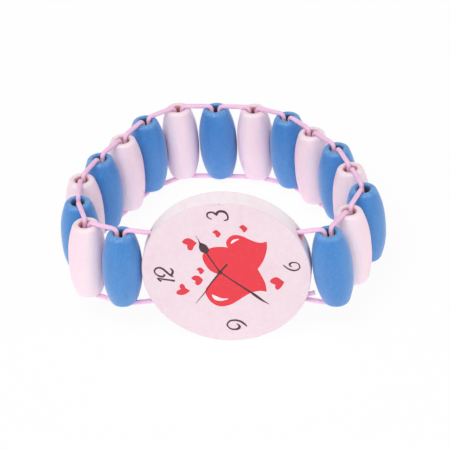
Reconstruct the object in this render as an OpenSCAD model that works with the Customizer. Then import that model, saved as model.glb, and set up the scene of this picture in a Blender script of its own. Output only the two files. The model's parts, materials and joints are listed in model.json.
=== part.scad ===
// Toy bracelet watch. A painted wooden disc, the dial, closes a band of round
// wooden beads. One elastic cord laces them like a ladder: it runs twice round
// the band, dips down through one bead and up through the next, and crosses
// the dial through two drilled holes.
//
// The band is laid out round the middle of the dial, with +Y behind the dial
// and +Z along the beads. The whole watch is then leaned back, the way it
// stands on a table: on the rim of the dial and on the laces under the rear
// beads. The origin is under the middle of its outline.

/* [Dial] */
// Diameter of the wooden dial
dial_d = 35; // [31:0.5:42]
// Thickness of the dial
dial_t = 4.8; // [4:0.1:7]
// Radius of the dial's rounded edges
dial_edge_r = 0.7; // [0.3:0.1:1.4]
// Distance between the dial's two lacing holes
lacing_spacing = 15.8; // [14:0.2:19]
// Diameter of the dial's lacing holes
lacing_d = 2.6; // [2.4:0.1:3.2]

/* [Beads] */
// Length of every bead
bead_l = 17.4; // [14.6:0.2:20]
// Greatest diameter of a blue bead
blue_d = 8.4; // [8:0.1:9.5]
// Greatest diameter of a pink bead
pink_d = 8.1; // [7.6:0.1:9]
// Diameter across a bead's ends
bead_end_d = 5.8; // [5.6:0.1:6.4]
// Radius of a bead's outer rims
bead_rim_r = 0.9; // [0.5:0.05:0.95]
// Diameter of the hole through a bead
bore_d = 2.85; // [2.65:0.05:2.95]
// Radius of the rounded mouth of that hole
mouth_r = 0.45; // [0.3:0.05:0.55]
// Gap between neighbours along the band
bead_gap = 0.15; // [0.1:0.05:0.3]

/* [Cord] */
// Diameter of the elastic cord
cord_d = 1.1; // [0.85:0.05:1.2]
// Gap between the cord and the wood that it bends over
lace_gap = 0.15; // [0.1:0.05:0.25]
// Length of the cord's cut end, from the middle of the knot
tail_l = 4; // [3:0.1:4.6]

/* [Hidden] */
bead_count = 17;

$fn = 96;
overrun = 1;

blue = [0.31, 0.55, 0.82];
pink = [0.95, 0.86, 0.90];
cord_pink = [0.96, 0.74, 0.88];
face_pink = [0.95, 0.88, 0.91];

// How the band's bending is shared by the beads from the second to the last
// but one. It lies a little squeezed, with its tightest turn beside the dial.
bend_shares = [18, 6, 8, 3, 0, 9, 14, 1, 7, 9, 0, 7, 0, 15, 3];

// The cord: sides of its tube, steps through a bead, and how far the ring in
// the middle of each bend stands out so that the flat sides clear the wood
cord_sides = 8;
bore_steps = 4;
bend_step = 45;
bend_out = 1 / cos(bend_step / 2);

function bead_name(i) = str("bead_", i < 10 ? "0" : "", i);
function is_blue(i) = i % 2 == 1;
function bead_r(i) = (is_blue(i) ? blue_d : pink_d) / 2;
function total(v, n) = n <= 0 ? 0 : v[n - 1] + total(v, n - 1);
function along(a) = [cos(a), sin(a)];
function with_z(p, z) = [p.x, p.y, z];

// Layout of the band. Every link, from one bead's axis to the next, has the
// same length. The first and the last bead touch the dial's rim at its widest,
// and the bending is solved so that the chain spans just that far.
bead_pitch = (blue_d + pink_d) / 2 + bead_gap;
span = dial_d + blue_d + 2 * bead_gap;
links = bead_count - 1;
all_shares = total(bend_shares, len(bend_shares));
share_before = [for (k = [0:links - 1]) total(bend_shares, k) / all_shares];

function reach(bend) = [
    for (axis = [0, 1]) total([for (s = share_before) bead_pitch * along(-bend * s)[axis]], links)
];
function solve_bend(low, high, n) =
    let (mid = (low + high) / 2)
    n == 0 ? mid
    : norm(reach(mid)) > span ? solve_bend(mid, high, n - 1)
    : solve_bend(low, mid, n - 1);

band_bend = solve_bend(180, 330, 40);
first_way = -atan2(reach(band_bend).y, reach(band_bend).x);

// Direction of each stretch of lacing: from the dial to bead 1, from bead to
// bead, and from the last bead back to the dial
ways = [180, for (s = share_before) first_way - band_bend * s, -180];
bead_xy = [
    for (i = [0:links]) [
        -span / 2 + total([for (k = [1:links]) bead_pitch * cos(ways[k])], i),
        total([for (k = [1:links]) bead_pitch * sin(ways[k])], i)
    ]
];

// A bead's side is one arc, tangent to its rounded rims
rim_x = bead_end_d / 2 - bead_rim_r;
rim_z = bead_l / 2 - bead_rim_r;
function side_r(r) =
    let (inset = r - rim_x)
    (inset * inset + rim_z * rim_z - bead_rim_r * bead_rim_r) / (2 * (inset - bead_rim_r));

// The lace bends over the rounded mouth of each hole
lip_x = bore_d / 2 + mouth_r;
lip_z = bead_l / 2 - mouth_r;
lace_bend_r = mouth_r + lace_gap + cord_d / 2;
lace_x = lip_x - lace_bend_r;
lace_z = lip_z + lace_bend_r;

// Leaning back: the dial's rim and the laces under the rearmost beads touch
// the table together
rim_back = dial_t / 2 - dial_edge_r;
rim_down = dial_d / 2 - dial_edge_r;
rear_y = max([for (p = bead_xy) p.y]);
stand_y = rear_y - rim_back;
stand_z = rim_down - lace_z;
lean = atan2(stand_z, stand_y) + asin((dial_edge_r - cord_d / 2) / norm([stand_y, stand_z]));

function back_reach(i) =
    let (arc = side_r(bead_r(i + 1)))
    (bead_xy[i].y + bead_r(i + 1) - arc) * cos(lean) + arc;

left = min([for (i = [0:links]) bead_xy[i].x - bead_r(i + 1)]);
right = max([for (i = [0:links]) bead_xy[i].x + bead_r(i + 1)]);
front = -(rim_back * cos(lean) + rim_down * sin(lean) + dial_edge_r);
back = max([for (i = [0:links]) back_reach(i)]);
below = rim_back * sin(lean) + rim_down * cos(lean) + dial_edge_r;
stand_at = [-(left + right) / 2, -(front + back) / 2, below];

module stand() {
    translate(stand_at)
        rotate([-lean, 0, 0])
            children();
}

// Half the outline of a bead, with its hole and the rounded mouths
module bead_outline(r) {
    arc = side_r(r);
    arc_z = rim_z * arc / (arc - bead_rim_r);
    difference() {
        union() {
            intersection() {
                translate([r - arc, 0])
                    circle(arc, $fn = 360);
                translate([0, -arc_z])
                    square([r, 2 * arc_z]);
            }
            for (end = [-1, 1])
                translate([rim_x, end * rim_z])
                    circle(bead_rim_r);
            translate([0, -bead_l / 2])
                square([rim_x, bead_l]);
        }
        translate([-overrun, -bead_l])
            square([overrun + bore_d / 2, 2 * bead_l]);
        for (end = [0, 1])
            mirror([0, end])
                difference() {
                    translate([bore_d / 2 - overrun, lip_z])
                        square([overrun + mouth_r, mouth_r + overrun]);
                    translate([lip_x, lip_z])
                        circle(mouth_r);
                }
    }
}

module bead(i) {
    color(is_blue(i) ? blue : pink)
        stand()
            translate(with_z(bead_xy[i - 1], 0))
                rotate_extrude()
                    bead_outline(bead_r(i));
}

module dial_blank() {
    rotate([90, 0, 0])
        rotate_extrude()
            union() {
                translate([0, -dial_t / 2])
                    square([rim_down, dial_t]);
                translate([0, -rim_back])
                    square([dial_d / 2, 2 * rim_back]);
                for (side = [-1, 1])
                    translate([rim_down, side * rim_back])
                        circle(dial_edge_r);
            }
}

// The dial's printed side faces the front, -Y
module dial() {
    color(face_pink)
        stand()
            difference() {
                dial_blank();
                for (side = [-1, 1])
                    translate([-dial_d / 2 - overrun, 0, side * lacing_spacing / 2])
                        rotate([0, 90, 0])
                            cylinder(h = dial_d + 2 * overrun, d = lacing_d);
            }
}

// The cord's route, as rings: [centre, direction of the lacing there]. In a
// bead it comes over the mouth, turns half way round the hole and leaves over
// the other mouth. The two laps turn opposite ways, so they never touch.
function over_mouth(centre, way, facing, end, angles) = [
    for (a = angles)
        let (out = a % 90 == 0 ? 1 : bend_out)
        [
            with_z(
                centre + (lip_x + out * lace_bend_r * cos(a)) * along(facing),
                end * (lip_z + out * lace_bend_r * sin(a))
            ),
            way
        ]
];

function bead_pass(i, lap) =
    let (
        end = (i + lap) % 2 == 0 ? 1 : -1,
        centre = bead_xy[i],
        way_in = ways[i],
        way_out = ways[i + 1],
        turn = lap == 0 ? way_out - way_in - 180 : way_out - way_in + 180
    )
    [
        each over_mouth(centre, way_in, way_in + 180, end, [90, 90 + bend_step, 180]),
        for (k = [1:bore_steps - 1])
            let (f = k / bore_steps)
            [
                with_z(centre + lace_x * along(way_in + 180 + f * turn), end * lip_z * (1 - 2 * f)),
                way_in + f * (way_out - way_in)
            ],
        each over_mouth(centre, way_out, way_out, -end, [180, 90 + bend_step, 90])
    ];

// Across the dial the cord runs from the right to the left, pulled against
// the outer side of each hole
hole_z = lacing_spacing / 2 + lacing_d / 2 - lace_gap - cord_d / 2;
hole_x = rim_at(hole_z);
function rim_at(z) = sqrt(pow(dial_d / 2, 2) - z * z);
function dial_mouth(side, end, way) = [[side * hole_x, 0, end * hole_z], way];

// The knot is pulled into the right mouth of the dial's lower hole. The
// cord's two ends meet inside it.
wrap_step_share = 0.45;
knot_half_l = (wrap_step_share + 1 / 2) * cord_d;
knot_at = [
    rim_at((lacing_spacing + lacing_d) / 2) - lace_gap - knot_half_l,
    0,
    -lacing_spacing / 2
];
knot_half_gap = [cord_d / 4, 0, 0];

route = [
    [knot_at - knot_half_gap, 180],
    dial_mouth(-1, -1, 180),
    for (i = [0:links]) each bead_pass(i, 1),
    dial_mouth(1, 1, -180),
    dial_mouth(-1, 1, -180),
    for (i = [0:links]) each bead_pass(i, 0),
    [knot_at + knot_half_gap, -180]
];

function unit(v) = v / norm(v);
function ring(k) =
    let (
        before = route[max(k - 1, 0)][0],
        after = route[min(k + 1, len(route) - 1)][0],
        ahead = unit(after - before),
        level = with_z(along(route[k][1] + 90), 0),
        side = unit(level - (level * ahead) * ahead),
        up = cross(ahead, side)
    )
    [
        for (s = [0:cord_sides - 1])
            let (a = 360 * s / cord_sides)
            route[k][0] + cord_d / 2 * (cos(a) * side + sin(a) * up)
    ];

module elastic_cord() {
    rings = len(route);
    points = [for (k = [0:rings - 1]) each ring(k)];
    walls = [
        for (k = [0:rings - 2], s = [0:cord_sides - 1])
            let (
                a = k * cord_sides + s,
                b = k * cord_sides + (s + 1) % cord_sides
            )
            each [[a, b + cord_sides, b], [a, a + cord_sides, b + cord_sides]]
    ];
    caps = [
        [for (s = [0:cord_sides - 1]) s],
        [for (s = [cord_sides - 1:-1:0]) (rings - 1) * cord_sides + s]
    ];
    color(cord_pink)
        stand()
            polyhedron(points, [each walls, each caps]);
}

// Two wraps pulled tight round the cord, which fill the hole but for a
// clearance, and one cut end, which leaves the hole's mouth beside the cord and
// points up and back
wrap_r = (lacing_d - cord_d) / 2 - lace_gap;
tail_up = 11;
tail_back = 9;
module cord_knot() {
    color(cord_pink)
        stand()
            translate(knot_at) {
                rotate([0, 90, 0])
                    rotate_extrude()
                        intersection() {
                            translate([0, -knot_half_l])
                                square(2 * knot_half_l);
                            for (side = [-1, 1])
                                translate([0, side * wrap_step_share * cord_d]) {
                                    translate([wrap_r, 0])
                                        circle(d = cord_d, $fn = 48);
                                    translate([0, -cord_d / 2])
                                        square([wrap_r, cord_d]);
                                }
                        }
                rotate([0, 90 - tail_up, tail_back])
                    cylinder(h = tail_l, d = cord_d, $fn = 48);
            }
}

dial();
for (i = [1:bead_count])
    bead(i);
elastic_cord();
cord_knot();
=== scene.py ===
"""The looks of a toy bracelet watch: lacquered wooden beads, a pink elastic lace and a printed dial."""
import json
import math

import bmesh
import bpy
import numpy as np
from mathutils import Matrix, Vector, noise

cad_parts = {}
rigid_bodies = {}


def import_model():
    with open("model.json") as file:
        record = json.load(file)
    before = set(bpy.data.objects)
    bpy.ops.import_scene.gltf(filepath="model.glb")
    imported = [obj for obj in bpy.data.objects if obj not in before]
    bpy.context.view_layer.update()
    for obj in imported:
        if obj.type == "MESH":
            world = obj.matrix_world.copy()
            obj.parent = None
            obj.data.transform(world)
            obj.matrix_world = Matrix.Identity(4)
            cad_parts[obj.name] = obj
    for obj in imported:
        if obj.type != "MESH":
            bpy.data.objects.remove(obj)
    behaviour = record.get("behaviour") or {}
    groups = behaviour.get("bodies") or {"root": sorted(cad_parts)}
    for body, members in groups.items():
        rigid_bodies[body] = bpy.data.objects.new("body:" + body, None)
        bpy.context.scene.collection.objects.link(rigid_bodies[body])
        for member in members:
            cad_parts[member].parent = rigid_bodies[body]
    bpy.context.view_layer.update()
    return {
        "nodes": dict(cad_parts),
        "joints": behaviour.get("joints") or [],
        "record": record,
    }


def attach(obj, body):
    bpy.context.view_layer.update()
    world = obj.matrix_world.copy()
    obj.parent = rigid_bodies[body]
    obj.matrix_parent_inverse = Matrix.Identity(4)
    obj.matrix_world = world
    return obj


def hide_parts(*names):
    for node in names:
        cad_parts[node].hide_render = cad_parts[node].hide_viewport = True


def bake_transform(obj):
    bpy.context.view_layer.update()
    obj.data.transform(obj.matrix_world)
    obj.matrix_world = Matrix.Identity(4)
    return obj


for left_over in list(bpy.data.objects):
    bpy.data.objects.remove(left_over)
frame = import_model()

MM = 0.001
SCENE = bpy.context.scene

# The watch's own directions: up along the beads, right across the dial, and to the rear
JOINTS = {joint["child"]: joint for joint in frame["joints"]}
MOUNTS = {mount["name"]: mount for mount in frame["record"]["mounts"]}
UP = Vector(JOINTS["bead_01"]["axis"]).normalized()
RIGHT = Vector((1, 0, 0))
REAR = UP.cross(RIGHT)

# Sizes in mm, as in the part's source
DIAL_R, DIAL_T, DIAL_EDGE = 17.5, 4.8, 0.7
LACING_Z, LACING_R = 7.9, 1.3
BEAD_R = {"blue": 4.2, "pink": 4.05}
BEAD_L, BEAD_END_R, RIM_R, MOUTH_R, BORE_R = 17.4, 2.9, 0.9, 0.45, 1.425

# Sizes in mm that only the looks have: a crisper dial, fuller beads and a thinner cord
CRISP_EDGE = 0.3
FULLNESS = 2.5
CORD_R, LACE_GAP, TAIL_L = 0.5, 0.03, 4.0

# What follows from them: the centres of the rounded rims, the mouths' lips and the cord's way over them
RIM_X, RIM_Z = BEAD_END_R - RIM_R, BEAD_L / 2 - RIM_R
LIP_X, LIP_Z = BORE_R + MOUTH_R, BEAD_L / 2 - MOUTH_R
BEND_R = MOUTH_R + LACE_GAP + CORD_R
LACE_X = LIP_X - BEND_R
LACE_Z = LIP_Z + BEND_R
HOLE_Z = LACING_Z + LACING_R - LACE_GAP - CORD_R
HOLE_X = math.sqrt(DIAL_R ** 2 - HOLE_Z ** 2)
KNOT_HALF_L = 1.9 * CORD_R
KNOT_X = math.sqrt(DIAL_R ** 2 - (LACING_Z + LACING_R) ** 2) - LACE_GAP - KNOT_HALF_L

CENTRE = Vector(MOUNTS["dial_back"]["pos_m"]) - REAR * DIAL_T / 2 * MM


def place(x, y, z):
    """A point of the upright watch, in mm from the dial's middle, as it stands."""
    return CENTRE + (RIGHT * x + REAR * y + UP * z) * MM


def upright(point):
    """The reverse of place()."""
    offset = (Vector(point) - CENTRE) / MM
    return Vector((offset.dot(RIGHT), offset.dot(REAR), offset.dot(UP)))


BEADS = [f"bead_{n:02d}" for n in range(1, 18)]
BEAD_XY = [upright(JOINTS[name]["pos_m"]).xy for name in BEADS]
LAST = len(BEADS) - 1


def kind_of(i):
    return "pink" if i % 2 else "blue"


# Small helpers
def new_mesh(name, verts, faces, smooth=True):
    mesh = bpy.data.meshes.new(name)
    mesh.from_pydata([tuple(v) for v in verts], [], faces)
    mesh.validate()
    if smooth:
        mesh.shade_smooth()
    piece = bpy.data.objects.new(name, mesh)
    SCENE.collection.objects.link(piece)
    return piece


def set_uvs(piece, uvs):
    """uvs: one (u, v) for each corner, in the order of the loops."""
    layer = piece.data.uv_layers.new(name="UVMap")
    layer.data.foreach_set("uv", np.array(uvs, np.float32).ravel())


def set_value(piece, name, values):
    layer = piece.data.attributes.new(name, "FLOAT", "POINT")
    layer.data.foreach_set("value", np.array(values, np.float32))


def arc(centre, radius, start, end, steps):
    """Points of an arc, angles in degrees."""
    angles = [math.radians(start + (end - start) * k / steps) for k in range(steps + 1)]
    return [(centre[0] + radius * math.cos(a), centre[1] + radius * math.sin(a)) for a in angles]


def smoothstep(t):
    return t * t * (3 - 2 * t)


# Materials
class Nodes:
    """Builds a material's node tree with little writing."""

    def __init__(self, name):
        self.material = bpy.data.materials.new(name)
        self.material.use_nodes = True
        self.tree = self.material.node_tree
        self.shader = self.tree.nodes["Principled BSDF"]

    def add(self, kind, inputs=None, **settings):
        node = self.tree.nodes.new(kind)
        for key, value in settings.items():
            setattr(node, key, value)
        for key, value in (inputs or {}).items():
            self.put(node.inputs[key], value)
        return node

    def put(self, socket, value):
        if isinstance(value, bpy.types.NodeSocket):
            self.tree.links.new(value, socket)
        else:
            socket.default_value = value

    def math(self, operation, *values):
        node = self.add("ShaderNodeMath", operation=operation)
        for socket, value in zip(node.inputs, values):
            self.put(socket, value)
        return node.outputs[0]

    def plus(self, a, b):
        return self.math("ADD", a, b)

    def minus(self, a, b):
        return self.math("SUBTRACT", a, b)

    def times(self, a, b):
        return self.math("MULTIPLY", a, b)

    def absolute(self, value):
        return self.math("ABSOLUTE", value)

    def distance(self, a, b):
        return self.math("SQRT", self.plus(self.times(a, a), self.times(b, b)))

    def dot(self, a, b):
        return self.add("ShaderNodeVectorMath", {0: a, 1: b}, operation="DOT_PRODUCT").outputs["Value"]

    def mix(self, share, a, b):
        node = self.add("ShaderNodeMix", data_type="RGBA", clamp_factor=True)
        self.put(node.inputs["Factor"], share)
        self.put(node.inputs["A"], a)
        self.put(node.inputs["B"], b)
        return node.outputs["Result"]

    def ramp(self, value, low, high, out_low=0.0, out_high=1.0):
        return self.add(
            "ShaderNodeMapRange",
            {"Value": value, "From Min": low, "From Max": high, "To Min": out_low, "To Max": out_high},
            interpolation_type="SMOOTHSTEP",
        ).outputs[0]

    def scaled(self, vector, *scale):
        return self.add("ShaderNodeMapping", {"Vector": vector, "Scale": scale}).outputs[0]

    def noise(self, vector, scale, detail, roughness=0.5):
        return self.add(
            "ShaderNodeTexNoise",
            {"Vector": vector, "Scale": scale, "Detail": detail, "Roughness": roughness},
        ).outputs["Fac"]

    def coords(self, output="Object"):
        return self.add("ShaderNodeTexCoord").outputs[output]

    def value(self, name):
        return self.add("ShaderNodeAttribute", attribute_name=name).outputs["Fac"]

    def bump(self, height, distance, strength=1.0):
        node = self.add(
            "ShaderNodeBump", {"Height": height, "Distance": distance, "Strength": strength},
        )
        self.put(self.shader.inputs["Normal"], node.outputs[0])

    def set(self, **inputs):
        for key, value in inputs.items():
            self.put(self.shader.inputs[key.replace("_", " ")], value)


def rgb(r, g, b):
    """A colour as seen on screen, 0 to 255, in the renderer's own terms."""
    def linear(c):
        c /= 255
        return c / 12.92 if c <= 0.04045 else ((c + 0.055) / 1.055) ** 2.4
    return (linear(r), linear(g), linear(b), 1.0)


def bead_material(
    name, body, light, deep, worn, pale, hole, bare, contact_shade_colour, glow_radius, glow_share, bloom, bloom_tint,
):
    """Satin lacquer on turned wood, with faint grain, worn at its ends, and with painted shade where
    beads touch.
    """
    m = Nodes(name)
    # each pattern is scaled by the turn and by the mm of height
    uv = m.coords("UV")
    grain = m.noise(m.scaled(uv, 60, 0.5, 1), 1.0, 4, 0.6)
    cloud = m.noise(m.scaled(uv, 5, 0.05, 1), 1.0, 3, 0.55)
    speck = m.noise(m.scaled(uv, 40, 1.6, 1), 1.0, 3, 0.6)
    fine = m.noise(m.scaled(uv, 160, 4, 1), 1.0, 2, 0.6)
    chips = m.noise(m.scaled(uv, 34, 1.3, 1), 1.0, 1)
    # the lacquer, its grain, and where it is worn through
    colour = m.mix(m.ramp(cloud, 0.3, 0.7), body, light)
    colour = m.mix(m.times(m.ramp(grain, 0.48, 0.72), 0.34), colour, deep)
    colour = m.mix(m.ramp(speck, 0.35, 0.65, 0, 0.12), colour, worn)
    colour = m.mix(m.times(m.value("rim_wear"), m.ramp(speck, 0.38, 0.6, 0.2, 0.8)), colour, worn)
    colour = m.mix(m.ramp(chips, 0.79, 0.81, 0, 0.8), colour, pale)
    # painted shade where the beads beside it touch, and the hole
    contact_shade = m.plus(m.value("contact_shade"), m.times(m.minus(speck, 0.5), 0.5))
    # painted shade, navy on blue and mauve on pink, where the neighbours touch
    colour = m.mix(m.ramp(contact_shade, 0.35, 0.7, 0, 0.9), colour, contact_shade_colour)
    # the bore's own dark stain and bare wood, deepened with painted shade further in
    colour = m.mix(m.value("hole_stain_and_shade"), colour, m.mix(m.ramp(speck, 0.42, 0.62, 0, 0.7), hole, bare))
    m.set(Base_Color=colour, Roughness=m.ramp(cloud, 0.2, 0.8, 0.36, 0.46))
    m.set(Coat_Weight=0.1, Coat_Roughness=0.3, Specular_IOR_Level=0.4)
    m.set(Sheen_Weight=bloom, Sheen_Roughness=0.5, Sheen_Tint=bloom_tint)
    m.set(Subsurface_Weight=glow_share, Subsurface_Radius=glow_radius, Subsurface_Scale=MM)
    m.bump(m.plus(m.times(grain, 0.6), m.times(fine, 0.4)), 0.02 * MM)
    return m.material


def elastic_material():
    """A round elastic cord in a fine braid: two sets of threads that cross as they wind round it."""
    m = Nodes("elastic_sheath")
    uv = m.coords("UV")
    across = m.add("ShaderNodeSeparateXYZ", {"Vector": uv})
    twist = m.times(across.outputs[0], 2 * math.pi * THREADS)
    run = m.times(across.outputs[1], 2 * math.pi * THREADS_PER_MM)
    braid = m.times(m.math("SINE", m.plus(twist, run)), m.math("SINE", m.minus(twist, run)))
    soft = m.noise(m.scaled(uv, 4, 0.3, 1), 1.0, 2)
    # darker pink where the braid lies low: painted shade in its hollows
    colour = m.mix(m.ramp(braid, -0.9, 0.6, 0.35, 0), rgb(251, 205, 235), rgb(238, 164, 211))
    colour = m.mix(m.ramp(soft, 0.3, 0.7, 0, 0.3), colour, rgb(253, 218, 240))
    m.set(Base_Color=colour, Roughness=0.55, Specular_IOR_Level=0.3)
    m.set(Sheen_Weight=0.25, Sheen_Roughness=0.4, Subsurface_Weight=0.15)
    m.set(Subsurface_Radius=(1.0, 0.5, 0.7), Subsurface_Scale=MM)
    m.bump(braid, 0.03 * MM, 0.6)
    return m.material


def dial_material():
    """Pale pink stain on a wooden disc: mottled on the face, paler on the rim, chipped at the edge."""
    m = Nodes("dial_stain")
    here = m.add("ShaderNodeVectorMath", {0: m.coords(), 1: CENTRE}, operation="SUBTRACT").outputs[0]
    # in mm from the dial's middle
    depth, up, side = (m.dot(here, way / MM) for way in (REAR, UP, RIGHT))
    from_middle = m.distance(up, side)
    front = -DIAL_T / 2
    mm = m.scaled(here, 1 / MM, 1 / MM, 1 / MM)
    blotch = m.noise(mm, 0.16, 4, 0.6)
    fine = m.noise(mm, 0.9, 3, 0.6)
    fleck = m.noise(mm, 1.9, 2, 0.6)
    grain = m.noise(m.scaled(here, 900, 250, 900), 1.0, 3, 0.5)
    # the face and the rim
    face = m.mix(m.ramp(blotch, 0.42, 0.72, 0, 0.55), rgb(235, 214, 222), rgb(232, 201, 213))
    face = m.mix(m.ramp(fine, 0.4, 0.7, 0, 0.5), face, rgb(240, 221, 228))
    face = m.mix(m.ramp(fleck, 0.45, 0.7, 0, 0.35), face, rgb(226, 208, 222))
    rim = m.mix(m.ramp(grain, 0.35, 0.75), rgb(255, 243, 248), rgb(253, 236, 243))
    colour = m.mix(m.ramp(depth, front + 0.08, front + 0.4), face, rim)
    # small chips along the front edge, most of them above the middle
    edge = m.ramp(m.absolute(m.minus(from_middle, DIAL_R - 0.25)), 0.0, 0.25, 1, 0)
    edge = m.times(edge, m.ramp(depth, front + 0.5, front + 0.25))
    from_chips = m.absolute(m.plus(side, 1.1))
    chips = m.times(m.ramp(m.noise(mm, 1.8, 2, 0.7), 0.5, 0.56), m.ramp(from_chips, 0.8, 1.8, 1, 0.1))
    chips = m.times(m.times(edge, chips), m.ramp(up, 5, 12))
    colour = m.mix(m.times(chips, 0.8), colour, rgb(188, 176, 172))
    # painted shade, tinted blue, on the rim where the beads touch it at both sides
    dial_touch_shade = m.ramp(m.absolute(side), DIAL_R - 0.9, DIAL_R - 0.2)
    dial_touch_shade = m.times(dial_touch_shade, m.ramp(m.absolute(depth), 0.3, 1.3, 1, 0))
    dial_touch_shade = m.times(dial_touch_shade, m.ramp(blotch, 0.3, 0.5, 0.6, 1))
    colour = m.mix(m.times(dial_touch_shade, 0.85), colour, rgb(70, 62, 118))
    # painted shade, a darker pink, in and round the lacing holes
    from_hole = m.distance(m.absolute(m.minus(m.absolute(up), LACING_Z)), depth)
    mouth = m.times(
        m.ramp(from_hole, LACING_R - 0.1, LACING_R + 0.5, 1, 0),
        m.ramp(from_middle, DIAL_R - 0.5, DIAL_R - 0.05, 1, 0.55),
    )
    colour = m.mix(m.times(mouth, m.ramp(depth, front + 0.2, front + 0.5)), colour, rgb(222, 144, 168))
    m.set(Base_Color=colour, Roughness=m.ramp(fine, 0.3, 0.7, 0.42, 0.54))
    m.set(Coat_Weight=0.05, Coat_Roughness=0.4, Specular_IOR_Level=0.35)
    m.bump(m.plus(m.times(fine, 0.6), m.times(grain, 0.4)), 0.03 * MM)
    return m.material


def ink_material(name, colour, patchy, share):
    """Screen-printed ink that lies thin over the wood."""
    m = Nodes(name)
    thin = m.noise(m.scaled(m.coords(), 1 / MM, 1 / MM, 1 / MM), 1.3, 4, 0.7)
    m.set(Base_Color=m.mix(m.ramp(thin, 0.45, 0.8, 0, share), colour, patchy))
    m.set(Roughness=0.5, Specular_IOR_Level=0.3)
    m.bump(thin, 0.01 * MM)
    return m.material


THREADS, THREADS_PER_MM = 8, 1.6
# Colours as seen on screen, and how far red, green and blue light spreads inside the lacquer, in mm
BEAD_FINISH = {
    "blue": bead_material(
        "lacquer_blue",
        body=rgb(55, 126, 197), light=rgb(69, 138, 204), deep=rgb(48, 102, 182),
        worn=rgb(116, 170, 220), pale=rgb(196, 214, 238),
        # the last colour here is painted shade, for where the neighbours touch
        hole=rgb(26, 38, 78), bare=rgb(104, 96, 98), contact_shade_colour=rgb(34, 48, 118),
        glow_radius=(0.8, 1.2, 1.8), glow_share=0.4,
        bloom=0.35, bloom_tint=rgb(200, 222, 255),
    ),
    "pink": bead_material(
        "lacquer_pink",
        body=rgb(249, 219, 228), light=rgb(252, 227, 234), deep=rgb(243, 205, 218),
        worn=rgb(255, 232, 237), pale=rgb(226, 186, 196),
        # the last colour here is painted shade, for where the neighbours touch
        hole=rgb(160, 78, 84), bare=rgb(212, 150, 142), contact_shade_colour=rgb(196, 160, 192),
        glow_radius=(3.4, 2.4, 2.7), glow_share=0.5,
        bloom=0.6, bloom_tint=rgb(255, 196, 226),
    ),
}
ELASTIC = elastic_material()
DIAL_FINISH = dial_material()
# the cord's tail is painted paler than the cord, as painted light against the shade it lies in
CORD_END_PAINTED_PALER = ink_material("elastic_cut_painted_paler", rgb(255, 216, 238), rgb(250, 200, 228), 0.6)
INK = {
    "dark": ink_material("ink_dark", rgb(82, 48, 58), rgb(104, 68, 78), 0.5),
    "dark_hands": ink_material("ink_dark_hands", rgb(72, 46, 50), rgb(96, 66, 70), 0.4),
    "red": ink_material("ink_red", rgb(228, 55, 69), rgb(234, 78, 90), 0.5),
    "red_small": ink_material("ink_red_small", rgb(223, 55, 70), rgb(232, 82, 96), 0.5),
    "white": ink_material("ink_white", rgb(255, 228, 232), rgb(250, 205, 212), 0.6),
}

# The beads
SIDES, SIDE_STEPS = 96, 20
# How wide and how high the painted shade is where a neighbour touches
CONTACT_SHADE_ANGLE, CONTACT_SHADE_Z = math.radians(27), 6.5
# The height over which a rim gets worn, and how much of that wear is left inside the mouth
WORN_Z, WORN_INSIDE = 0.8, 0.4
# The hole is this dark at its lip, and gets fully dark over a height that starts this far in: painted
# shade that deepens into the bore
LIP_DARK, DARK_Z, DARK_FROM = 0.35, 1.2, 0.15
# Shallow dents along the side and fine ones in them, which fade out beside the rim, in mm
DENT, FINE_DENT, DENT_FADE_Z = 0.07, 0.004, 1.5
# How closely the dents follow each other round the bead and along it, and how much closer the fine ones
DENT_ROUND, DENT_ALONG, DENT_FINER = 1.5, 0.04, 5
# How far apart two beads are in the patterns of the dents and of the stain, so that no two look alike
DENT_APART, STAIN_APART = 7.1, 3.7


def heading(a, b):
    return math.atan2(b.y - a.y, b.x - a.x)


# The way from each piece of the loop to the next, as an angle that only falls on the way round
WAYS = [math.pi] + [heading(BEAD_XY[i], BEAD_XY[i + 1]) for i in range(LAST)] + [-math.pi]
for k in range(1, len(WAYS)):
    while WAYS[k] > WAYS[k - 1] + 1e-6:
        WAYS[k] -= 2 * math.pi


# How far the upper end of a bead leans to the right, in mm: those by the dial lean towards it
LEANS = {
    "bead_01": 0.42, "bead_02": 0.42, "bead_03": 0.2,
    "bead_15": -0.25, "bead_16": -0.3, "bead_17": -0.45,
}


def leaning(i, z):
    """How far bead i's axis is to the right of its middle at height z."""
    return LEANS.get(BEADS[i], 0) * z / (BEAD_L / 2)


def bead_side(radius):
    """Where the side of a bead meets its rounded rim, and the direction it has there in degrees."""
    reach = 0.0
    for _ in range(12):
        r, z = RIM_X + RIM_R * math.cos(reach), RIM_Z + RIM_R * math.sin(reach)
        reach = math.atan(FULLNESS * (radius - r) / z)
    return r, z, math.degrees(reach)


def bead_profile(radius):
    """[(distance from the axis, height)] once round the wood, from the hole's lower end up."""
    shoulder_r, shoulder_z, reach = bead_side(radius)
    steps = range(SIDE_STEPS - 1, -SIDE_STEPS, -1)
    heights = [shoulder_z * math.sin(math.pi / 2 * k / SIDE_STEPS) for k in steps]
    side = [(radius - (radius - shoulder_r) * abs(z / shoulder_z) ** FULLNESS, z) for z in heights]
    hole = [(BORE_R, LIP_Z * t) for t in (-0.97, -0.9, -0.75, -0.5, -0.2, 0.2, 0.5, 0.75, 0.9, 0.97)]
    return (
        hole
        + arc((LIP_X, LIP_Z), MOUTH_R, 180, 90, 6)
        + arc((RIM_X, RIM_Z), RIM_R, 90, reach, 5)
        + side
        + arc((RIM_X, -RIM_Z), RIM_R, -reach, -90, 5)
        + arc((LIP_X, -LIP_Z), MOUTH_R, -90, -180, 6)
    )


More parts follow.
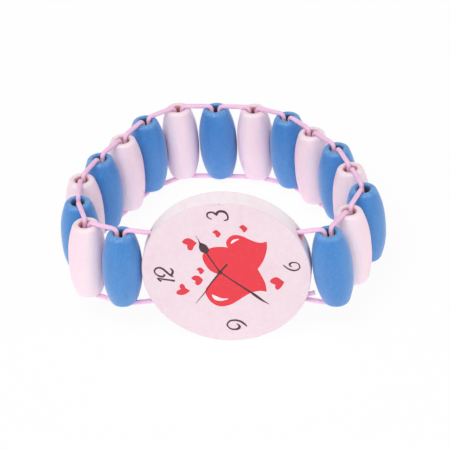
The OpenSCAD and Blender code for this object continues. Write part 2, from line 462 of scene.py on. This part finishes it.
def contact_shade_share(i, angle, z):
    """How near a place on bead i's side is to where it touches its neighbours, from 0 to 1: how much
    painted shade it gets there.
    """
    nearest = 0.0
    for facing in (WAYS[i] + math.pi, WAYS[i + 1]):
        apart = abs((angle - facing + math.pi) % (2 * math.pi) - math.pi)
        nearest = max(nearest, 1 - math.hypot(apart / CONTACT_SHADE_ANGLE, z / CONTACT_SHADE_Z))
    return nearest


def dent(i, angle, z):
    """How far the side of bead i is pressed in at a place."""
    seed = Vector((
        math.cos(angle) * DENT_ROUND + DENT_APART * i, math.sin(angle) * DENT_ROUND, z * DENT_ALONG,
    ))
    wide, fine = (0.5 + 0.5 * noise.noise(seed * finer) for finer in (1, DENT_FINER))
    return (DENT * wide + FINE_DENT * fine) * min(1, (RIM_Z + 0.5 - abs(z)) / DENT_FADE_Z)


def hole_stain_and_shade(r, z):
    """How dark the wood is inside the mouth, from 0 at its lip to 1 well inside: the bore's own dark
    stain, with painted shade that deepens into it.
    """
    if r >= LIP_X:
        return 0
    inside = min(1.0, (LIP_X - r) / (LIP_X - BORE_R))
    down = min(1.0, max(0.0, (LIP_Z + MOUTH_R - DARK_FROM - abs(z)) / DARK_Z))
    return smoothstep(inside) * (LIP_DARK + (1 - LIP_DARK) * down)


def rim_wear(r, z):
    """How worn the rim is: all over its top, and less inside the mouth."""
    top = min(1.0, max(0.0, (abs(z) - RIM_Z) / WORN_Z))
    return top * (1 if r >= LIP_X - 0.3 else WORN_INSIDE)


def make_bead(i):
    name, kind = BEADS[i], kind_of(i)
    profile = bead_profile(BEAD_R[kind])
    count = len(profile)
    x, y = BEAD_XY[i]
    verts, depth, wear, contact_shade = [], [], [], []
    for k in range(SIDES):
        a = 2 * math.pi * k / SIDES
        for r, z in profile:
            outside = r > LIP_X + 0.1
            if outside:
                r -= dent(i, a, z)
            verts.append(place(x + r * math.cos(a) + leaning(i, z), y + r * math.sin(a), z))
            # the hole's stain, with painted shade deeper in
            depth.append(hole_stain_and_shade(r, z))
            wear.append(rim_wear(r, z))
            # the painted shade where the neighbours touch
            contact_shade.append(contact_shade_share(i, a, z) if outside else 0)
    # Its UV is in turns, which start elsewhere on each bead, and in mm of height
    faces, uvs = [], []
    for k in range(SIDES):
        near, far = k * count, (k + 1) % SIDES * count
        u0, u1 = k / SIDES + STAIN_APART * i, (k + 1) / SIDES + STAIN_APART * i
        for low in range(count):
            high = (low + 1) % count
            faces.append((near + low, far + low, far + high, near + high))
            z0, z1 = profile[low][1], profile[high][1]
            uvs += [(u0, z0), (u1, z0), (u1, z1), (u0, z1)]
    piece = new_mesh("wood_" + name, verts, faces)
    set_uvs(piece, uvs)
    set_value(piece, "hole_stain_and_shade", depth)
    set_value(piece, "rim_wear", wear)
    set_value(piece, "contact_shade", contact_shade)
    piece.data.materials.append(BEAD_FINISH[kind])
    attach(piece, name)
    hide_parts(name)


for i in range(len(BEADS)):
    make_bead(i)

# The elastic cord
CORD_SIDES, BORE_STEPS, CURVE_STEPS = 20, 24, 14
# Points of the cord that are closer than this are one, in mm
SAME_POINT = 1e-4


def along(angle, length=1.0):
    return Vector((math.cos(angle), math.sin(angle))) * length


def lip(i, facing, end, angles):
    """The cord over the mouth of bead i's hole: 90 degrees is on top and 180 down in the hole."""
    out = []
    for a in angles:
        a = math.radians(a)
        x, y = BEAD_XY[i] + along(facing, LIP_X + BEND_R * math.cos(a))
        z = end * (LIP_Z + BEND_R * math.sin(a))
        out.append(Vector((x + leaning(i, z), y, z)))
    return out


def through_bead(i, lap):
    """The cord's points into bead i over one mouth, half way round in its hole, and out again."""
    end = 1 if (i + lap) % 2 == 0 else -1
    way_in, way_out = WAYS[i], WAYS[i + 1]
    turn = way_out - way_in + (-math.pi if lap == 0 else math.pi)
    points = lip(i, way_in + math.pi, end, range(90, 181, 10))
    for k in range(1, BORE_STEPS):
        f = k / BORE_STEPS
        x, y = BEAD_XY[i] + along(way_in + math.pi + smoothstep(f) * turn, LACE_X)
        z = end * LIP_Z * (1 - 2 * f)
        points.append(Vector((x + leaning(i, z), y, z)))
    return points + lip(i, way_out, -end, range(180, 89, -10)), end


def tube(name, points, start_side, start_length, closed=False):
    """A round tube along points of the upright watch, its last ring's side and the length so far."""
    points = [p for k, p in enumerate(points) if k == 0 or (p - points[k - 1]).length > SAME_POINT]
    verts, lengths, side, length = [], [], start_side, start_length
    for k, p in enumerate(points):
        before, after = points[max(k - 1, 0)], points[min(k + 1, len(points) - 1)]
        ahead = (after - before).normalized()
        side = (side - ahead * side.dot(ahead)).normalized()
        up = ahead.cross(side)
        if k:
            length += (p - points[k - 1]).length
        lengths.append(length)
        for s in range(CORD_SIDES):
            a = 2 * math.pi * s / CORD_SIDES
            verts.append(place(*(p + (side * math.cos(a) + up * math.sin(a)) * CORD_R)))
    faces, uvs = [], []
    for k in range(len(points) - 1):
        for s in range(CORD_SIDES):
            t = (s + 1) % CORD_SIDES
            a, b = k * CORD_SIDES, (k + 1) * CORD_SIDES
            faces.append((a + s, a + t, b + t, b + s))
            u0, u1 = s / CORD_SIDES, (s + 1) / CORD_SIDES
            uvs += [(u0, lengths[k]), (u1, lengths[k]), (u1, lengths[k + 1]), (u0, lengths[k + 1])]
    if closed:
        last = (len(points) - 1) * CORD_SIDES
        faces += [list(range(CORD_SIDES))[::-1], [last + s for s in range(CORD_SIDES)]]
        uvs += [(0.5, 0.0)] * (2 * CORD_SIDES)
    piece = new_mesh(name, verts, faces)
    set_uvs(piece, uvs)
    piece.data.materials.append(ELASTIC)
    return piece, side, length


def steps_between(a, b, spacing=0.5):
    n = max(1, round((b - a).length / spacing))
    return [a.lerp(b, k / n) for k in range(n + 1)]


def curve_between(a, way_a, b, way_b):
    """A smooth bend from a to b that leaves and arrives along the given directions."""
    out = []
    for k in range(CURVE_STEPS + 1):
        t = k / CURVE_STEPS
        out.append(
            a * (2 * t ** 3 - 3 * t ** 2 + 1) + way_a * (t ** 3 - 2 * t ** 2 + t)
            + b * (3 * t ** 2 - 2 * t ** 3) + way_b * (t ** 3 - t ** 2)
        )
    return out


# Both laps leave the dial to the left: how straight the lace is at its mouths and the crests beside it
WEST = Vector((-1, 0, 0))
MOUTH_PULL, CREST_PULL = WEST * 2.4, WEST * 3.0


def dial_mouth(side, end):
    return Vector((side * HOLE_X, 0, end * HOLE_Z))


def crest_by_dial(side, end):
    """Where the lace beside the dial reaches its height over the first or the last bead."""
    i = 0 if side < 0 else LAST
    return Vector((BEAD_XY[i].x - side * LIP_X + leaning(i, end * LACE_Z), 0, end * LACE_Z))


def from_dial(end):
    return curve_between(dial_mouth(-1, end), MOUTH_PULL, crest_by_dial(-1, end), CREST_PULL)


def to_dial(end):
    return curve_between(crest_by_dial(1, end), CREST_PULL, dial_mouth(1, end), MOUTH_PULL)


def halves(points):
    middle = len(points) // 2
    return points[:middle + 1], points[middle:]


# From the knot the cord goes through the lower holes, round, through the upper holes, round, and back
KNOT = Vector((KNOT_X, 0, -LACING_Z))
side, length = Vector((0, 0, 1)), 0.0
for lap, end, level in ((1, -1, "low"), (0, 1, "top")):
    start = [KNOT] if lap == 1 else halves(to_dial(end))[1]
    near, carry = halves(from_dial(end))
    points = start + steps_between(start[-1], near[0], 1.0)[1:] + near[1:]
    piece, side, length = tube(f"lace_dial_{level}", points, side, length)
    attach(piece, "watch")
    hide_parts("elastic_cord")
    for i in range(len(BEADS)):
        inner, bead_end = through_bead(i, lap)
        if i < LAST:
            next_crest = lip(i + 1, WAYS[i + 1] + math.pi, -bead_end, [90])[0]
            near, following = halves(steps_between(inner[-1], next_crest))
        elif lap == 1:
            near, following = halves(to_dial(1))
        else:
            near, following = curve_between(inner[-1], CREST_PULL, KNOT, (KNOT - inner[-1]) * 0.8), []
        points = carry + inner[1:] + near[1:]
        piece, side, length = tube(f"lace_{BEADS[i]}_{level}", points, side, length)
        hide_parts("elastic_cord")
        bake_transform(piece)
        carry = following

# The knot, pulled into the dial, and the one cut end that looks out
WRAP_R, WRAP_TURNS, WRAP_STEPS = LACING_R - CORD_R - LACE_GAP, 1.4, 48
WRAP_PITCH = CORD_R * 1.2
TAIL_UP, TAIL_BACK = math.radians(11), math.radians(9)
TAIL_WAY = Vector((
    math.cos(TAIL_UP) * math.cos(TAIL_BACK), math.cos(TAIL_UP) * math.sin(TAIL_BACK), math.sin(TAIL_UP),
))


def wrap_point(turns):
    a = 2 * math.pi * turns
    return KNOT + Vector((WRAP_PITCH * turns, -WRAP_R * math.sin(a), WRAP_R * math.cos(a)))


wraps = [wrap_point(WRAP_TURNS * (k / WRAP_STEPS - 0.5)) for k in range(WRAP_STEPS + 1)]
tail = steps_between(KNOT, KNOT + TAIL_WAY * TAIL_L, 0.25)
for name, points in (("lace_knot", wraps), ("lace_end", tail)):
    piece, _, _ = tube(name, points, Vector((0.1, 1, 0)), 0.0, closed=True)
    if name == "lace_end":
        # the tail's paler colour is painted light against its shade
        piece.data.materials[0] = CORD_END_PAINTED_PALER
    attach(piece, "watch")
    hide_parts("cord_knot")

# The dial and its print
ROUNDING, INK_DEPTH = 0.001, 0.01


def crisp_dial(front_edge):
    """A copy of the CAD dial with a smaller radius on its front edge, scaled about the arc's centre."""
    source = frame["nodes"]["dial"].data
    mesh = source.copy()
    mesh.name = "wood_dial"
    normals = [tuple(corner.vector) for corner in source.corner_normals]
    turn_y, crisp_y = DIAL_EDGE - DIAL_T / 2, front_edge - DIAL_T / 2
    share = front_edge / DIAL_EDGE
    for vertex in mesh.vertices:
        x, y, z = upright(vertex.co)
        radius = math.hypot(x, z)
        out = radius - (DIAL_R - DIAL_EDGE)
        if y > turn_y + ROUNDING or out < -ROUNDING:
            continue
        wide = (DIAL_R - front_edge + out * share) / radius
        vertex.co = place(x * wide, crisp_y + (y - turn_y) * share, z * wide)
    mesh.normals_split_custom_set(normals)
    mesh.materials.clear()
    mesh.materials.append(DIAL_FINISH)
    piece = bpy.data.objects.new("wood_dial", mesh)
    SCENE.collection.objects.link(piece)
    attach(piece, "watch")
    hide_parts("dial")


crisp_dial(CRISP_EDGE)


def on_face(u, v, height):
    """A point of the print: u to the right and v up from the dial's middle, in mm."""
    return place(u, -DIAL_T / 2 - height, v)


def catmull(points, closed=False, steps=8):
    """A smooth line through points, each of two or more values."""
    p = [np.array(q, float) for q in points]
    n = len(p)
    out = []
    for k in range(n if closed else n - 1):
        if closed:
            a, b, c, d = p[k - 1], p[k], p[(k + 1) % n], p[(k + 2) % n]
        else:
            b, c = p[k], p[k + 1]
            a = p[k - 1] if k else 2 * b - c
            d = p[k + 2] if k + 2 < n else 2 * c - b
        for s in range(steps):
            t = s / steps
            square, cube = 2 * a - 5 * b + 4 * c - d, 3 * b - a - 3 * c + d
            out.append(0.5 * (2 * b + (c - a) * t + square * t * t + cube * t ** 3))
    if not closed:
        out.append(p[-1])
    return out


def print_shape(name, outlines, ink, height):
    """Flat inked shapes, each a closed outline in (u, v), a little proud of the face."""
    work = bmesh.new()
    for outline in outlines:
        top = [work.verts.new(on_face(u, v, height)) for u, v in outline]
        base = [work.verts.new(on_face(u, v, -INK_DEPTH)) for u, v in outline]
        work.faces.new(top)
        n = len(top)
        for k in range(n):
            work.faces.new((top[k], top[(k + 1) % n], base[(k + 1) % n], base[k]))
    bmesh.ops.triangulate(work, faces=[f for f in work.faces if len(f.verts) > 4])
    bmesh.ops.recalc_face_normals(work, faces=work.faces)
    mesh = bpy.data.meshes.new(name)
    work.to_mesh(mesh)
    work.free()
    piece = bpy.data.objects.new(name, mesh)
    SCENE.collection.objects.link(piece)
    mesh.materials.append(INK[ink])
    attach(piece, "watch")


def stroke(points, weight=1.0):
    """The outline of a pen stroke through (u, v, width)."""
    line = catmull(points, steps=7)
    left, right = [], []
    for k, (u, v, w) in enumerate(line):
        a, b = line[max(k - 1, 0)], line[min(k + 1, len(line) - 1)]
        ahead = Vector((b[0] - a[0], b[1] - a[1])).normalized()
        across = Vector((-ahead.y, ahead.x)) * w * weight / 2
        left.append((u + across.x, v + across.y))
        right.append((u - across.x, v - across.y))
    return left + right[::-1]


def lobed(cleft, upper, tip, lower):
    """A heart's outline: two smooth lobes that meet in a cleft and a tip."""
    one = catmull([cleft, *upper, tip])
    two = catmull([tip, *lower, cleft])
    return one[:-1] + two[:-1]


HEART_BACK = lobed(
    (2.2, 5.0),
    [(0.85, 6.55), (0.55, 7.75), (1.0, 8.8), (1.85, 9.55), (2.9, 9.7), (4.05, 9.35), (5.8, 8.35),
     (7.4, 7.75)],
    (8.9, 8.0),
    [(8.8, 6.15), (8.15, 3.85), (7.4, 2.3), (6.4, 1.05), (5.0, 0.85), (3.5, 1.75), (2.6, 3.2)],
)
HEART_FRONT = lobed(
    (-1.7, -0.2),
    [(-3.3, 0.9), (-4.2, 2.55), (-4.55, 3.85), (-4.35, 5.0), (-2.95, 6.35), (-0.85, 6.75),
     (1.55, 6.35), (4.2, 4.8), (5.8, 2.9), (7.0, 0.15), (7.9, -2.35)],
    (8.15, -4.65),
    [(6.7, -4.45), (4.95, -4.9), (3.3, -5.95), (1.1, -7.6), (-0.5, -8.3), (-1.9, -8.4),
     (-3.2, -7.7), (-4.15, -6.4), (-4.6, -4.95), (-4.35, -3.75), (-3.3, -2.35)],
)
print_shape("print_heart_back", [HEART_BACK], "red", height=0.015)
print_shape("print_heart_front", [HEART_FRONT], "red", height=0.022)
print_shape(
    "print_hearts_small",
    [
        lobed(
            (-7.5, 7.3),
            [(-8.15, 7.6), (-8.45, 8.05), (-7.95, 8.7), (-7.1, 8.95), (-6.3, 8.55)],
            (-5.45, 7.7),
            [(-6.1, 6.9), (-6.45, 6.1), (-6.95, 5.9), (-7.45, 6.25)],
        ),
        lobed(
            (-1.5, 9.95),
            [(-1.85, 10.15), (-2.05, 10.45), (-1.35, 10.95), (-0.75, 10.6)],
            (-0.35, 9.95),
            [(-0.75, 9.3), (-1.15, 9.1), (-1.45, 9.45)],
        ),
        lobed(
            (4.0, 11.05),
            [(3.75, 11.3), (3.5, 11.7), (4.2, 12.2), (4.75, 11.85)],
            (5.2, 11.25),
            [(4.8, 10.65), (4.45, 10.35), (4.15, 10.6)],
        ),
        lobed(
            (-5.55, 0.6),
            [(-5.85, 0.85), (-6.0, 1.15), (-5.3, 1.6), (-4.75, 1.25)],
            (-4.45, 0.75),
            [(-4.75, 0.2), (-5.2, -0.15), (-5.5, 0.1)],
        ),
        lobed(
            (-6.45, -1.85),
            [(-7.0, -1.55), (-7.25, -1.15), (-6.8, -0.65), (-6.2, -0.5), (-5.45, -0.8)],
            (-4.85, -1.6),
            [(-5.4, -2.55), (-6.05, -3.0), (-6.55, -2.55)],
        ),
        lobed(
            (-9.7, -3.95),
            [(-9.9, -3.45), (-9.8, -2.95), (-9.35, -2.6), (-8.9, -2.95), (-8.6, -3.7)],
            (-7.75, -4.4),
            [(-8.65, -5.15), (-9.55, -5.5), (-10.4, -5.35), (-10.7, -4.85), (-10.3, -4.3)],
        ),
        lobed(
            (10.0, -2.85),
            [(9.35, -2.55), (8.95, -2.1), (9.35, -1.35), (10.4, -0.95), (11.35, -1.65)],
            (11.9, -2.2),
            [(11.3, -3.35), (10.5, -4.15), (9.95, -3.75)],
        ),
    ],
    "red_small", height=0.018,
)
print_shape(
    "print_glints",
    [
        catmull([(1.55, 7.55), (1.75, 8.25), (2.4, 8.65), (3.3, 8.7), (2.5, 8.15)], closed=True),
        catmull(
            [(-3.3, -5.4), (-2.4, -5.8), (-1.25, -6.35), (0.05, -6.45), (-1.55, -7.0), (-2.85, -6.6)],
            closed=True,
        ),
    ],
    "white", height=0.03,
)

# The hands, as strokes of (u, v, width) from the pivot and one leaf of (u, v)
PIVOT, HUB_R = (-1.2, 0.35), 0.5
HOUR_STEM = [(*PIVOT, 0.3), (-2.45, 2.75, 0.3), (-3.65, 5.2, 0.32)]
HOUR_LEAF = [
    (-4.8, 7.8), (-3.7, 7.3), (-3.15, 6.4), (-3.15, 5.75), (-3.6, 5.15), (-4.0, 5.2),
    (-4.75, 5.55), (-5.05, 6.3), (-5.05, 7.1),
]
HOUR_TIP = [(-4.65, 7.2, 0.5), (-5.05, 8.35, 0.16), (-5.55, 9.55, 0.06)]
MINUTE = [(*PIVOT, 0.26), (1.8, -2.25, 0.34), (4.85, -4.85, 0.46)]
MINUTE_BLADE = [
    (4.85, -4.85, 0.3), (5.35, -5.25, 0.54), (6.55, -6.4, 0.5), (7.45, -7.15, 0.3), (8.45, -7.9, 0.06),
]
SECOND = [
    (0.4, 2.35, 0.38), (-0.4, 1.4, 0.34), (*PIVOT, 0.32), (-3.3, -2.5, 0.24), (-4.7, -4.8, 0.17),
    (-6.85, -7.65, 0.06),
]
HUB = arc(PIVOT, HUB_R, 0, 342, 19)
print_shape(
    "print_hour_hand",
    [stroke(HOUR_STEM), catmull(HOUR_LEAF, closed=True), stroke(HOUR_TIP)],
    "dark_hands", height=0.034,
)
print_shape(
    "print_minute_hand", [stroke(MINUTE), stroke(MINUTE_BLADE, 1.08)], "dark_hands", height=0.038,
)
print_shape("print_second_hand", [stroke(SECOND, 1.15)], "dark_hands", height=0.042)
print_shape("print_hub", [HUB], "dark_hands", height=0.046)

# The numbers, as strokes of (u, v, width)
ONE = [
    [(-14.4, -1.2, 0.13), (-14.0, -1.6, 0.25), (-13.55, -1.95, 0.32)],
    [(-14.3, -1.15, 0.19), (-13.0, -1.45, 0.27), (-11.75, -1.65, 0.27), (-10.75, -1.85, 0.35)],
]
TWO = [
    [(-12.8, -0.15, 0.32), (-12.85, -0.55, 0.27), (-13.35, -0.75, 0.32), (-14.0, -0.55, 0.27),
     (-14.5, -0.1, 0.22), (-14.8, 0.45, 0.22), (-14.65, 1.05, 0.25), (-14.15, 1.45, 0.27),
     (-13.6, 1.5, 0.3), (-13.0, 1.2, 0.32), (-12.5, 0.65, 0.32), (-11.95, 0.0, 0.3),
     (-11.45, -0.5, 0.29), (-10.95, -0.8, 0.14)],
    [(-11.4, -0.4, 0.32), (-11.1, 0.15, 0.35), (-11.0, 0.65, 0.33), (-11.2, 1.1, 0.26),
     (-11.5, 1.4, 0.13)],
]
THREE = [
    [(-1.95, 13.65, 0.17), (-2.5, 13.9, 0.2), (-2.85, 14.45, 0.26), (-2.75, 15.05, 0.31),
     (-2.2, 15.35, 0.33), (-1.6, 15.3, 0.31), (-1.1, 14.9, 0.37), (-0.85, 14.55, 0.2)],
    [(-0.9, 14.7, 0.37), (-0.8, 15.15, 0.42), (-0.4, 15.5, 0.46), (0.1, 15.6, 0.48),
     (0.75, 15.4, 0.44), (1.15, 14.95, 0.35), (1.35, 14.25, 0.29), (1.3, 13.7, 0.28),
     (1.05, 13.45, 0.28), (0.5, 13.3, 0.2)],
]
SIX = [
    (11.95, 2.15, 0.17), (12.4, 1.6, 0.21), (12.95, 1.15, 0.25), (13.6, 0.85, 0.28),
    (14.25, 0.75, 0.26), (14.9, 1.0, 0.24), (15.25, 1.5, 0.22), (15.2, 2.1, 0.2),
    (14.9, 2.55, 0.18), (14.4, 2.75, 0.2), (13.8, 2.75, 0.25), (13.35, 2.5, 0.3),
    (13.25, 2.2, 0.31), (13.4, 1.85, 0.22), (13.7, 1.65, 0.09),
]
NINE = [
    (3.45, -13.65, 0.16), (3.0, -13.05, 0.33), (2.35, -12.45, 0.34), (1.55, -12.1, 0.33),
    (0.85, -12.05, 0.31), (0.0, -12.25, 0.28), (-0.5, -12.8, 0.25), (-0.65, -13.35, 0.25),
    (-0.3, -14.0, 0.23), (0.2, -14.35, 0.26), (0.95, -14.45, 0.31), (1.6, -14.25, 0.38),
    (1.9, -13.8, 0.41), (1.8, -13.35, 0.29), (1.3, -12.95, 0.13),
]
NUMBERS = (("12", ONE + TWO, 1.45), ("3", THREE, 1.22), ("6", [SIX], 1.32), ("9", [NINE], 1.38))
for number, strokes, weight in NUMBERS:
    print_shape("print_number_" + number, [stroke(s, weight) for s in strokes], "dark", height=0.03)

# The floor, lit like a light table: it throws light up at the watch, and the camera sees it pale
FLOOR_GLOW, FLOOR_HALF = 4.0, 3
GLOW_SHARE, GLOW_SHARE_SEEN = 0.1, 0.93
CORNERS = [(x * FLOOR_HALF, y * FLOOR_HALF, 0) for x, y in ((-1, -1), (1, -1), (1, 1), (-1, 1))]
floor = new_mesh("floor", CORNERS, [(0, 1, 2, 3)], smooth=False)
paper = Nodes("floor_paper")
paper.set(Base_Color=(0.95, 0.95, 0.95, 1), Roughness=0.9, Specular_IOR_Level=0.1)
seen_floor = paper.add("ShaderNodeLightPath").outputs["Is Camera Ray"]
glow_level = paper.ramp(seen_floor, 0, 1, FLOOR_GLOW, 1)
glow = paper.add("ShaderNodeEmission", {"Color": (1, 1, 1, 1), "Strength": glow_level})
glow_share = paper.ramp(seen_floor, 0, 1, GLOW_SHARE, GLOW_SHARE_SEEN)
both = paper.add("ShaderNodeMixShader", {0: glow_share, 1: paper.shader.outputs[0], 2: glow.outputs[0]})
paper.put(paper.tree.nodes["Material Output"].inputs[0], both.outputs[0])
floor.data.materials.append(paper.material)

# The world looks white, and lights softly
WORLD_LIGHT = 0.36
world = bpy.data.worlds.new("studio")
SCENE.world = world
world.use_nodes = True
sky = world.node_tree
rays = sky.nodes.new("ShaderNodeLightPath")
looked_at = rays.outputs["Is Camera Ray"]
for kind in ("Is Glossy Ray", "Is Transmission Ray"):
    either = sky.nodes.new("ShaderNodeMath")
    either.operation = "MAXIMUM"
    sky.links.new(looked_at, either.inputs[0])
    sky.links.new(rays.outputs[kind], either.inputs[1])
    looked_at = either.outputs[0]
level = sky.nodes.new("ShaderNodeMapRange")
level.inputs["To Min"].default_value = WORLD_LIGHT
level.inputs["To Max"].default_value = 1.0
sky.links.new(looked_at, level.inputs["Value"])
back = sky.nodes["Background"]
back.inputs["Color"].default_value = (1, 1, 1, 1)
sky.links.new(level.outputs[0], back.inputs["Strength"])

# The lamps face the middle of the watch
AIM = Vector((0.0016, -0.0150, 0.0212))


def area_lamp(name, towards, distance, size, watts):
    """A round lamp that stands in a direction from the watch and faces it; lengths are in metres."""
    lamp = bpy.data.lights.new(name, "AREA")
    lamp.shape = "DISK"
    lamp.size = size
    lamp.energy = watts
    lamp_object = bpy.data.objects.new(name, lamp)
    SCENE.collection.objects.link(lamp_object)
    way = Vector(towards).normalized()
    lamp_object.location = AIM + way * distance
    lamp_object.rotation_euler = way.to_track_quat("Z", "Y").to_euler()


area_lamp("key", (-0.25, -0.3, 1.0), 2.0, 1.4, 16.0)
area_lamp("front", (0.05, -1.0, 1.6), 2.5, 1.8, 18.4)
area_lamp("fill", (1.0, -0.4, 0.6), 2.5, 1.8, 6.2)

# The photograph's view of the upright watch: degrees up, to the right and rolled, and mm
VIEW_UP, VIEW_SIDE, VIEW_ROLL = math.radians(34.9), math.radians(7.95), math.radians(-4.81)
VIEW_DISTANCE, VIEW_WIDTH = 507.2, 92.8
LOOK_AT = Vector((-0.37, 4.8, 7.13))

backwards = Vector((
    math.sin(VIEW_SIDE) * math.cos(VIEW_UP),
    -math.cos(VIEW_SIDE) * math.cos(VIEW_UP),
    math.sin(VIEW_UP),
))
level_right = Vector((0, 0, 1)).cross(backwards).normalized()
level_up = backwards.cross(level_right)
right = level_right * math.cos(VIEW_ROLL) + level_up * math.sin(VIEW_ROLL)
to_world = Matrix((RIGHT, REAR, UP)).transposed()
camera_data = bpy.data.cameras.new("view")
camera_data.angle = 2 * math.atan(VIEW_WIDTH / 2 / VIEW_DISTANCE)
camera_data.clip_start, camera_data.clip_end = 0.01, 10
camera = bpy.data.objects.new("view", camera_data)
SCENE.collection.objects.link(camera)
camera.location = place(*(LOOK_AT + backwards * VIEW_DISTANCE))
axes = [to_world @ v for v in (right, backwards.cross(right), backwards)]
camera.rotation_euler = Matrix(axes).transposed().to_euler()
SCENE.camera = camera
SCENE.view_settings.view_transform = "Standard"
